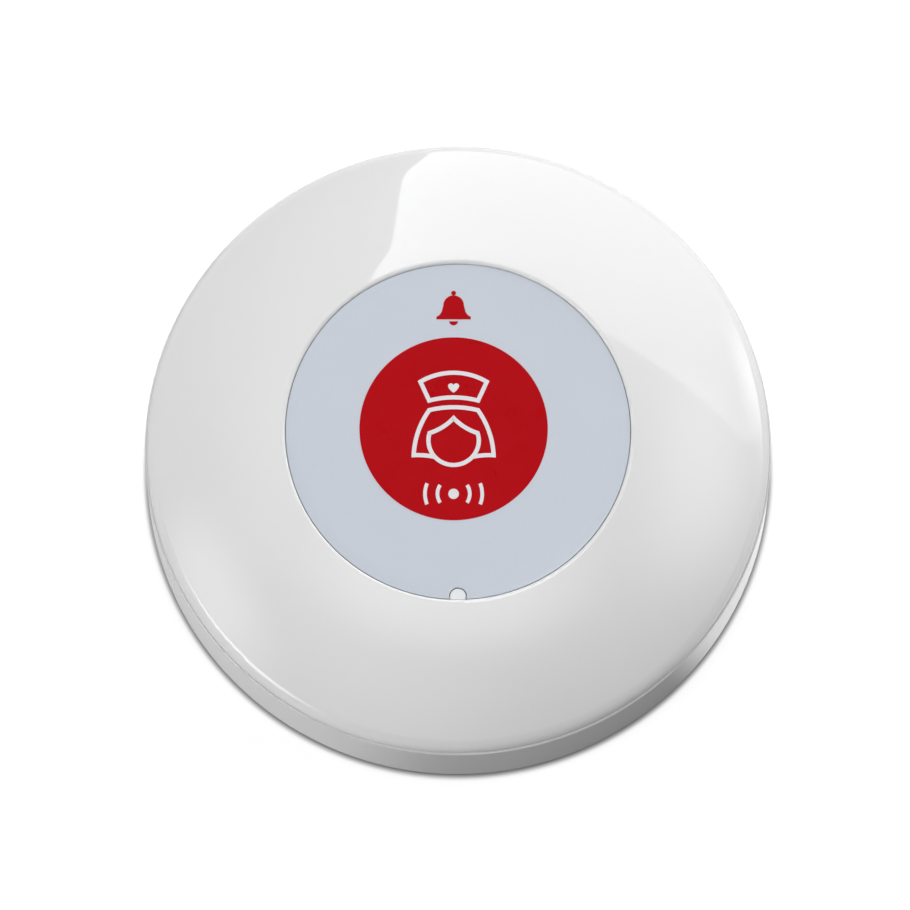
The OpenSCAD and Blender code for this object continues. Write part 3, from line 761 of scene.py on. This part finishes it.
def add_glow(name, azimuth, elevation, width, height, level):
    """A panel that fades out towards its border, so that its mirror image has no edge"""
    # Share of the half width that is fully bright
    core = 0.15
    azimuth, elevation = math.radians(azimuth), math.radians(elevation)
    away = Vector((
        math.cos(elevation) * math.cos(azimuth), math.cos(elevation) * math.sin(azimuth),
        math.sin(elevation),
    ))
    matrix = stand_off(Vector(), away, PANEL_DISTANCE)
    tree, strength = add_panel(name, matrix, width, height)
    place = add_node(tree, "ShaderNodeNewGeometry").outputs["Parametric"]
    # Runs from -1 to 1 along both sides of the panel
    centred = add_node(
        tree, "ShaderNodeVectorMath", {0: place, 1: (2, 2, 0), 2: (-1, -1, 0)},
        operation="MULTIPLY_ADD",
    )
    far = add_node(tree, "ShaderNodeVectorMath", {0: centred.outputs[0]}, operation="LENGTH")
    tree.links.new(smooth_rise(tree, far.outputs["Value"], 1.0, core, level), strength)


class BUTTON_OT_stage(bpy.types.Operator):
    """Set up the floor, the soft boxes and the camera"""

    bl_idname = "button.stage"
    bl_label = "Stage"

    # name, azimuth and elevation in degrees, width and height in metres, radiance
    PANELS = (
        ("left_panel", 200, 30, 1.2, 0.9, 2.58),
        ("low_left_panel", 215, 12, 1.6, 0.5, 7.2),
        ("low_right_panel", 20, 12, 1.0, 0.5, 4.75),
        ("right_panel", 5, 40, 1.4, 1.2, 2.0),
        ("front_panel", 250, 45, 1.6, 1.3, 0.72),
        ("over_panel", 180, 65, 1.9, 1.5, 0.88),
        ("top_panel", 265, 75, 1.6, 1.0, 2.16),
    )

    def execute(self, context):
        scene = context.scene
        settings = scene.stage
        scene.view_settings.view_transform = "Standard"
        add_floor(settings.floor, settings.floor_glow)
        add_surround(settings.surround)
        add_key(settings.key_edge, settings.key_base)
        for *place, radiance in self.PANELS:
            add_glow(*place, radiance * settings.fill)

        camera_data = bpy.data.cameras.new("camera")
        camera_data.sensor_width = 36
        camera_data.lens = camera_data.sensor_width * settings.distance / settings.view_width
        camera_data.clip_end = 10
        camera = add_object("camera", camera_data)
        away = Vector((0, -math.sin(settings.tilt), math.cos(settings.tilt)))
        camera.matrix_world = stand_off(Vector(settings.aim), away, settings.distance)
        scene.camera = camera
        return {"FINISHED"}


class BUTTON_PT_panel(bpy.types.Panel):
    """Lists the steps that dress the call button"""

    bl_label = "Call button"
    bl_space_type = "VIEW_3D"
    bl_region_type = "UI"
    bl_category = "Call button"

    def draw(self, context):
        for step in STEPS:
            self.layout.operator(step.bl_idname)


SETTINGS = {"casing": CasingSettings, "face": FaceSettings, "stage": StageSettings}
STEPS = (
    BUTTON_OT_casing, BUTTON_OT_film, BUTTON_OT_works, BUTTON_OT_spring, BUTTON_OT_prints,
    BUTTON_OT_stage,
)
CLASSES = (*SETTINGS.values(), *STEPS, BUTTON_PT_panel)


def register():
    """Add the settings, the steps and the panel"""
    for cls in CLASSES:
        bpy.utils.register_class(cls)
    for name, group in SETTINGS.items():
        setattr(bpy.types.Scene, name, PointerProperty(type=group))


def unregister():
    """Take away what register added"""
    for name in SETTINGS:
        delattr(bpy.types.Scene, name)
    for cls in reversed(CLASSES):
        bpy.utils.unregister_class(cls)


def main():
    """Run the steps in order"""
    register()
    bpy.ops.button.casing()
    bpy.ops.button.film()
    bpy.ops.button.works()
    bpy.ops.button.spring()
    bpy.ops.button.prints()
    bpy.ops.button.stage()


if __name__ == "__main__":
    main()
